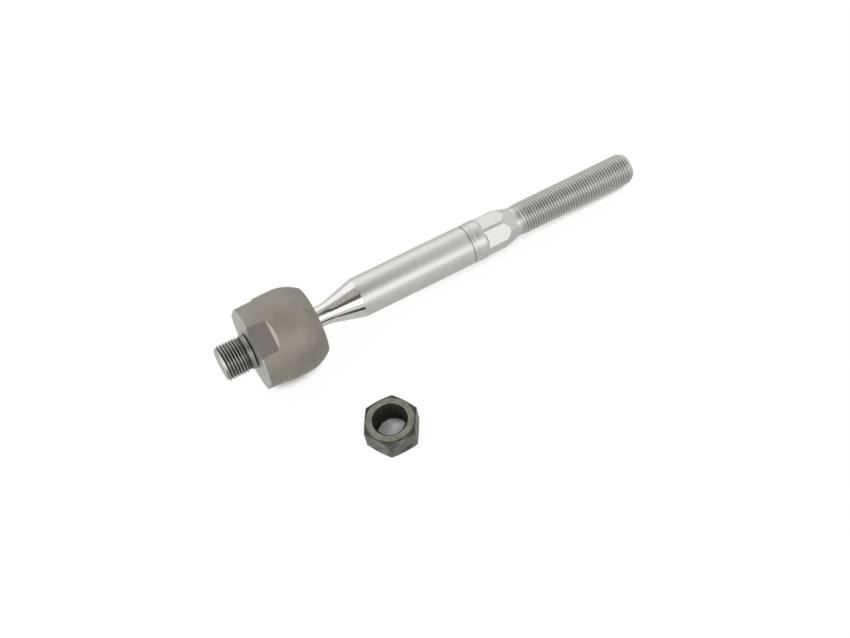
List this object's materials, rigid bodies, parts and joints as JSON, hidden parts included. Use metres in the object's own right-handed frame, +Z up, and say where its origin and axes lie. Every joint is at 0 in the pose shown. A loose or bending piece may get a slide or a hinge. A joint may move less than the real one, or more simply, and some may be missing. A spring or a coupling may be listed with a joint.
{
  "type": "inner tie rod",
  "caption": "Inner steering tie rod: a forged ball socket with a threaded stud, a one-piece rod with a ball, a hexagon and a long thread, and its lock nut lying beside it.",
  "frame": {"origin": "middle of the footprint of the socket, the rod and the nut as they lie, at floor height", "axes": "+X along the floor from the socket's stud towards the rod's threaded end, +Y away from the lock nut, +Z up"},
  "size_m": [0.2306, 0.0982, 0.0447],
  "materials": {
    "socket_steel": "matt, blasted forging",
    "seat_plastic": "natural acetal",
    "rod_steel": "fine turned, satin",
    "nut_steel": "dark, worn at the edges"
  },
  "bodies": {
    "housing": {"socket_housing": "socket_steel", "jam_nut": "nut_steel"},
    "seat": {"ball_seat": "seat_plastic"},
    "rod": {"tie_rod": "rod_steel"}
  },
  "joints": [
    {"name": "seat_turn", "type": "hinge", "parent": "housing", "child": "seat", "pos_m": [-0.07787, 0.02733, 0.02167], "axis": [0.9974, 0, -0.0719], "continuous": true},
    {"name": "rod_swing", "type": "hinge", "parent": "seat", "child": "rod", "pos_m": [-0.07787, 0.02733, 0.02167], "axis": [0.0719, 0, 0.9974], "range_deg": [-25, 25]}
  ]
}
